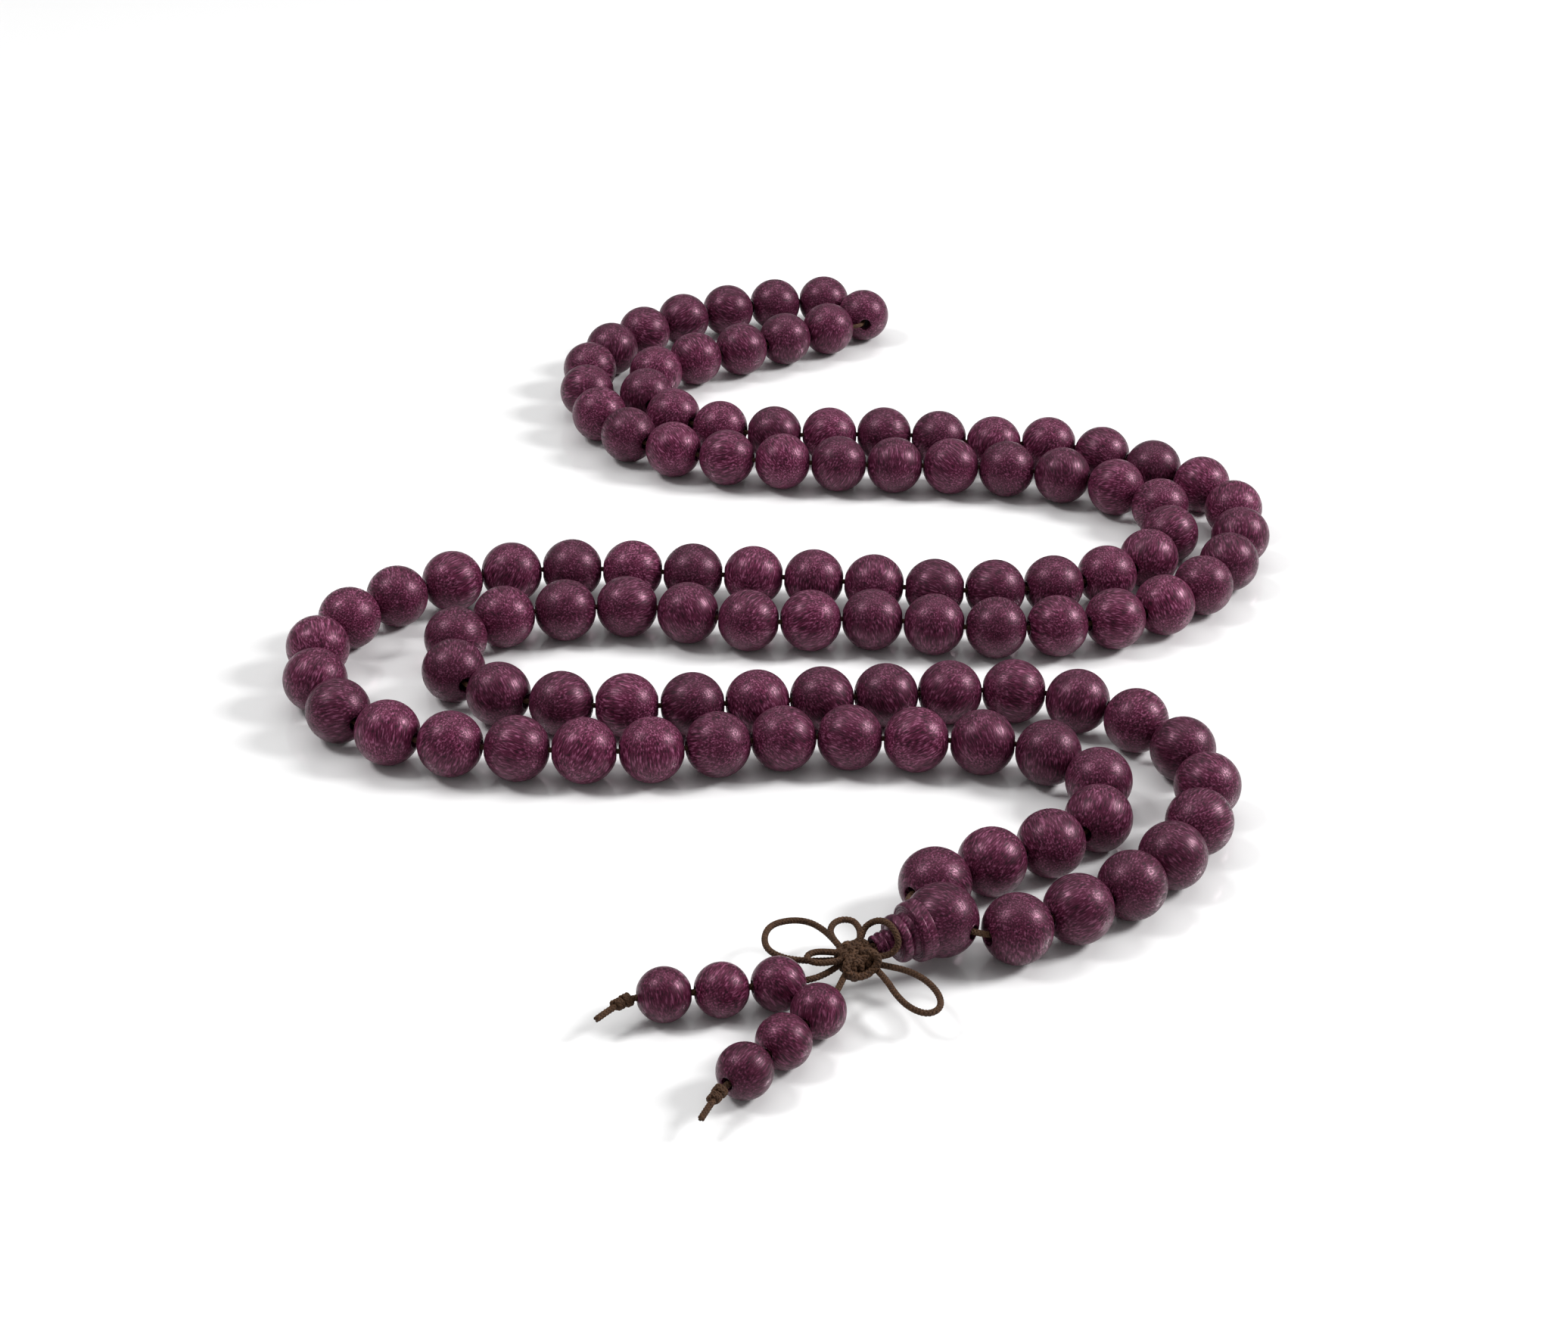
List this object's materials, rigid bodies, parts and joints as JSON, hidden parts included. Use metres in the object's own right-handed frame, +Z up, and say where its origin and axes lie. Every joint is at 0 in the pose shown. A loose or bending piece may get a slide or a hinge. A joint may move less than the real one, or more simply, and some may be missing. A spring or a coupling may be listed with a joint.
{
  "type": "mala prayer beads",
  "caption": "Long loop of round wooden prayer beads on a brown cord, with a turned guru bead, a looped knot and short beaded tails, lying folded.",
  "frame": {"origin": "on the table, in the middle of the strand's footprint without its tails", "axes": "+Z up from the table, +Y from the guru bead towards the far hairpin of the strand, +X to the right"},
  "size_m": [0.1291, 0.2052, 0.0094],
  "materials": {
    "bead_wood": "satin, fine short pores",
    "tail_bead_wood": "satin, fine short pores",
    "guru_wood": "satin, turned rings",
    "braided_cord": "tight round braid"
  },
  "bodies": {
    "mala": {"bead_group_1": "bead_wood", "bead_group_2": "bead_wood", "bead_group_3": "bead_wood", "bead_group_4": "bead_wood", "end_knot_front": "braided_cord", "end_knot_left": "braided_cord", "guru_bead": "guru_wood", "knot_body": "braided_cord", "knot_loop_collar": "braided_cord", "knot_loop_front": "braided_cord", "knot_loop_left": "braided_cord", "knot_loop_middle": "braided_cord", "knot_loop_top": "braided_cord", "neck_cord": "braided_cord", "strand_cord": "braided_cord", "tail_cord_front": "braided_cord", "tail_cord_left": "braided_cord"},
    "bead_right_01": {"bead_right_01": "bead_wood"},
    "bead_left_01": {"bead_left_01": "bead_wood"},
    "bead_right_02": {"bead_right_02": "bead_wood"},
    "bead_left_02": {"bead_left_02": "bead_wood"},
    "bead_right_03": {"bead_right_03": "bead_wood"},
    "bead_left_03": {"bead_left_03": "bead_wood"},
    "bead_right_04": {"bead_right_04": "bead_wood"},
    "bead_left_04": {"bead_left_04": "bead_wood"},
    "bead_right_05": {"bead_right_05": "bead_wood"},
    "bead_left_05": {"bead_left_05": "bead_wood"},
    "bead_right_06": {"bead_right_06": "bead_wood"},
    "bead_left_06": {"bead_left_06": "bead_wood"},
    "bead_right_07": {"bead_right_07": "bead_wood"},
    "bead_left_07": {"bead_left_07": "bead_wood"},
    "bead_right_08": {"bead_right_08": "bead_wood"},
    "bead_left_08": {"bead_left_08": "bead_wood"},
    "bead_right_09": {"bead_right_09": "bead_wood"},
    "bead_left_09": {"bead_left_09": "bead_wood"},
    "bead_right_10": {"bead_right_10": "bead_wood"},
    "bead_left_10": {"bead_left_10": "bead_wood"},
    "bead_right_11": {"bead_right_11": "bead_wood"},
    "bead_left_11": {"bead_left_11": "bead_wood"},
    "bead_right_12": {"bead_right_12": "bead_wood"},
    "bead_left_12": {"bead_left_12": "bead_wood"},
    "bead_right_13": {"bead_right_13": "bead_wood"},
    "bead_left_13": {"bead_left_13": "bead_wood"},
    "bead_right_14": {"bead_right_14": "bead_wood"},
    "bead_left_14": {"bead_left_14": "bead_wood"},
    "bead_right_15": {"bead_right_15": "bead_wood"},
    "bead_left_15": {"bead_left_15": "bead_wood"},
    "bead_right_16": {"bead_right_16": "bead_wood"},
    "bead_left_16": {"bead_left_16": "bead_wood"},
    "spacer_bead": {"spacer_bead": "bead_wood"},
    "guru_tower": {"guru_tower": "guru_wood"},
    "tail_bead_left_1": {"tail_bead_left_1": "tail_bead_wood"},
    "tail_bead_left_2": {"tail_bead_left_2": "tail_bead_wood"},
    "tail_bead_left_3": {"tail_bead_left_3": "tail_bead_wood"},
    "tail_bead_front_1": {"tail_bead_front_1": "tail_bead_wood"},
    "tail_bead_front_2": {"tail_bead_front_2": "tail_bead_wood"},
    "tail_bead_front_3": {"tail_bead_front_3": "tail_bead_wood"}
  },
  "joints": [
    {"name": "bead_right_01_spin", "type": "hinge", "parent": "mala", "child": "bead_right_01", "pos_m": [0.0247, -0.0791, 0.004], "axis": [0.8736, 0.4866, 0], "continuous": true},
    {"name": "bead_left_01_spin", "type": "hinge", "parent": "mala", "child": "bead_left_01", "pos_m": [0.0225, -0.06644, 0.004], "axis": [-0.8737, -0.4863, -0.0131], "continuous": true},
    {"name": "bead_right_02_spin", "type": "hinge", "parent": "mala", "child": "bead_right_02", "pos_m": [0.03164, -0.07504, 0.004], "axis": [0.844, 0.5364, 0], "continuous": true},
    {"name": "bead_left_02_spin", "type": "hinge", "parent": "mala", "child": "bead_left_02", "pos_m": [0.02943, -0.06237, 0.004], "axis": [-0.8587, -0.5125, -0.0024], "continuous": true},
    {"name": "bead_right_03_spin", "type": "hinge", "parent": "mala", "child": "bead_right_03", "pos_m": [0.03801, -0.07014, 0.004], "axis": [0.7296, 0.6839, 0], "continuous": true},
    {"name": "bead_left_03_spin", "type": "hinge", "parent": "mala", "child": "bead_left_03", "pos_m": [0.0353, -0.05688, 0.004], "axis": [-0.4932, -0.8699, 0], "continuous": true},
    {"name": "bead_right_04_spin", "type": "hinge", "parent": "mala", "child": "bead_right_04", "pos_m": [0.0432, -0.06399, 0.004], "axis": [0.5692, 0.8222, 0], "continuous": true},
    {"name": "bead_left_04_spin", "type": "hinge", "parent": "mala", "child": "bead_left_04", "pos_m": [0.03597, -0.04887, 0.004], "axis": [0.3523, -0.9359, 0], "continuous": true},
    {"name": "bead_right_05_spin", "type": "hinge", "parent": "mala", "child": "bead_right_05", "pos_m": [0.04702, -0.05692, 0.004], "axis": [0.3857, 0.9226, 0], "continuous": true},
    {"name": "bead_left_05_spin", "type": "hinge", "parent": "mala", "child": "bead_left_05", "pos_m": [0.03036, -0.04311, 0.004], "axis": [0.9018, -0.4321, 0], "continuous": true},
    {"name": "bead_right_06_spin", "type": "hinge", "parent": "mala", "child": "bead_right_06", "pos_m": [0.04882, -0.04908, 0.004], "axis": [0.0004, 1, 0], "continuous": true},
    {"name": "bead_left_06_spin", "type": "hinge", "parent": "mala", "child": "bead_left_06", "pos_m": [0.02253, -0.04127, 0.004], "axis": [0.9988, -0.0499, 0], "continuous": true},
    {"name": "bead_right_07_spin", "type": "hinge", "parent": "mala", "child": "bead_right_07", "pos_m": [0.04674, -0.04132, 0.004], "axis": [-0.4705, 0.8824, 0], "continuous": true},
    {"name": "bead_left_07_spin", "type": "hinge", "parent": "mala", "child": "bead_left_07", "pos_m": [0.01449, -0.0412, 0.004], "axis": [0.9999, 0.0123, 0], "continuous": true},
    {"name": "bead_right_08_spin", "type": "hinge", "parent": "mala", "child": "bead_right_08", "pos_m": [0.04166, -0.03509, 0.004], "axis": [-0.7641, 0.645, 0], "continuous": true},
    {"name": "bead_left_08_spin", "type": "hinge", "parent": "mala", "child": "bead_left_08", "pos_m": [0.00645, -0.04119, 0.004], "axis": [0.9996, 0.029, 0], "continuous": true},
    {"name": "bead_right_09_spin", "type": "hinge", "parent": "mala", "child": "bead_right_09", "pos_m": [0.03477, -0.03094, 0.004], "axis": [-0.9275, 0.3739, 0], "continuous": true},
    {"name": "bead_left_09_spin", "type": "hinge", "parent": "mala", "child": "bead_left_09", "pos_m": [-0.00155, -0.04194, 0.004], "axis": [0.9844, 0.1758, 0], "continuous": true},
    {"name": "bead_right_10_spin", "type": "hinge", "parent": "mala", "child": "bead_right_10", "pos_m": [0.02694, -0.02912, 0.004], "axis": [-0.9995, 0.0318, 0], "continuous": true},
    {"name": "bead_left_10_spin", "type": "hinge", "parent": "mala", "child": "bead_left_10", "pos_m": [-0.00938, -0.04378, 0.004], "axis": [0.9673, 0.2536, 0], "continuous": true},
    {"name": "bead_right_11_spin", "type": "hinge", "parent": "mala", "child": "bead_right_11", "pos_m": [0.01894, -0.02991, 0.004], "axis": [-0.986, -0.1665, 0], "continuous": true},
    {"name": "bead_left_11_spin", "type": "hinge", "parent": "mala", "child": "bead_left_11", "pos_m": [-0.01724, -0.04547, 0.004], "axis": [0.9879, 0.155, 0], "continuous": true},
    {"name": "bead_right_12_spin", "type": "hinge", "parent": "mala", "child": "bead_right_12", "pos_m": [0.011, -0.03113, 0.004], "axis": [-0.9867, -0.1628, 0], "continuous": true},
    {"name": "bead_left_12_spin", "type": "hinge", "parent": "mala", "child": "bead_left_12", "pos_m": [-0.02525, -0.04614, 0.004], "axis": [0.9993, 0.0366, 0], "continuous": true},
    {"name": "bead_right_13_spin", "type": "hinge", "parent": "mala", "child": "bead_right_13", "pos_m": [0.00306, -0.03242, 0.004], "axis": [-0.9864, -0.1643, 0], "continuous": true},
    {"name": "bead_left_13_spin", "type": "hinge", "parent": "mala", "child": "bead_left_13", "pos_m": [-0.03329, -0.04618, 0.004], "axis": [0.9999, -0.0138, 0], "continuous": true},
    {"name": "bead_right_14_spin", "type": "hinge", "parent": "mala", "child": "bead_right_14", "pos_m": [-0.00487, -0.03372, 0.004], "axis": [-0.9875, -0.1579, 0], "continuous": true},
    {"name": "bead_left_14_spin", "type": "hinge", "parent": "mala", "child": "bead_left_14", "pos_m": [-0.04131, -0.04568, 0.004], "axis": [0.9922, -0.1248, 0], "continuous": true},
    {"name": "bead_right_15_spin", "type": "hinge", "parent": "mala", "child": "bead_right_15", "pos_m": [-0.01283, -0.03486, 0.004], "axis": [-0.9916, -0.129, 0], "continuous": true},
    {"name": "bead_left_15_spin", "type": "hinge", "parent": "mala", "child": "bead_left_15", "pos_m": [-0.04909, -0.04362, 0.004], "axis": [0.9215, -0.3883, 0], "continuous": true},
    {"name": "bead_right_16_spin", "type": "hinge", "parent": "mala", "child": "bead_right_16", "pos_m": [-0.02084, -0.03563, 0.004], "axis": [-0.9976, -0.0696, 0], "continuous": true},
    {"name": "bead_left_16_spin", "type": "hinge", "parent": "mala", "child": "bead_left_16", "pos_m": [-0.05571, -0.03906, 0.004], "axis": [0.6775, -0.7355, 0], "continuous": true},
    {"name": "spacer_bead_spin", "type": "hinge", "parent": "mala", "child": "spacer_bead", "pos_m": [0.0159, -0.0713, 0.00415], "axis": [-0.7017, -0.7072, 0.0866], "continuous": true},
    {"name": "guru_tower_spin", "type": "hinge", "parent": "mala", "child": "guru_tower", "pos_m": [0.0163, -0.07965, 0.00525], "axis": [-0.8473, -0.5233, -0.0906], "continuous": true},
    {"name": "tail_bead_left_1_spin", "type": "hinge", "parent": "mala", "child": "tail_bead_left_1", "pos_m": [-0.0012, -0.0891, 0.003], "axis": [-0.9738, -0.2272, 0], "continuous": true},
    {"name": "tail_bead_left_2_spin", "type": "hinge", "parent": "mala", "child": "tail_bead_left_2", "pos_m": [-0.0072, -0.09045, 0.003], "axis": [-0.9773, -0.2118, 0], "continuous": true},
    {"name": "tail_bead_left_3_spin", "type": "hinge", "parent": "mala", "child": "tail_bead_left_3", "pos_m": [-0.01325, -0.0916, 0.003], "axis": [-0.9868, -0.1618, 0], "continuous": true},
    {"name": "tail_bead_front_1_spin", "type": "hinge", "parent": "mala", "child": "tail_bead_front_1", "pos_m": [0.00308, -0.09352, 0.003], "axis": [-0.5122, -0.8589, 0], "continuous": true},
    {"name": "tail_bead_front_2_spin", "type": "hinge", "parent": "mala", "child": "tail_bead_front_2", "pos_m": [-0.00047, -0.0988, 0.003], "axis": [-0.6025, -0.7981, 0], "continuous": true},
    {"name": "tail_bead_front_3_spin", "type": "hinge", "parent": "mala", "child": "tail_bead_front_3", "pos_m": [-0.00435, -0.10378, 0.003], "axis": [-0.6267, -0.7793, 0], "continuous": true}
  ]
}
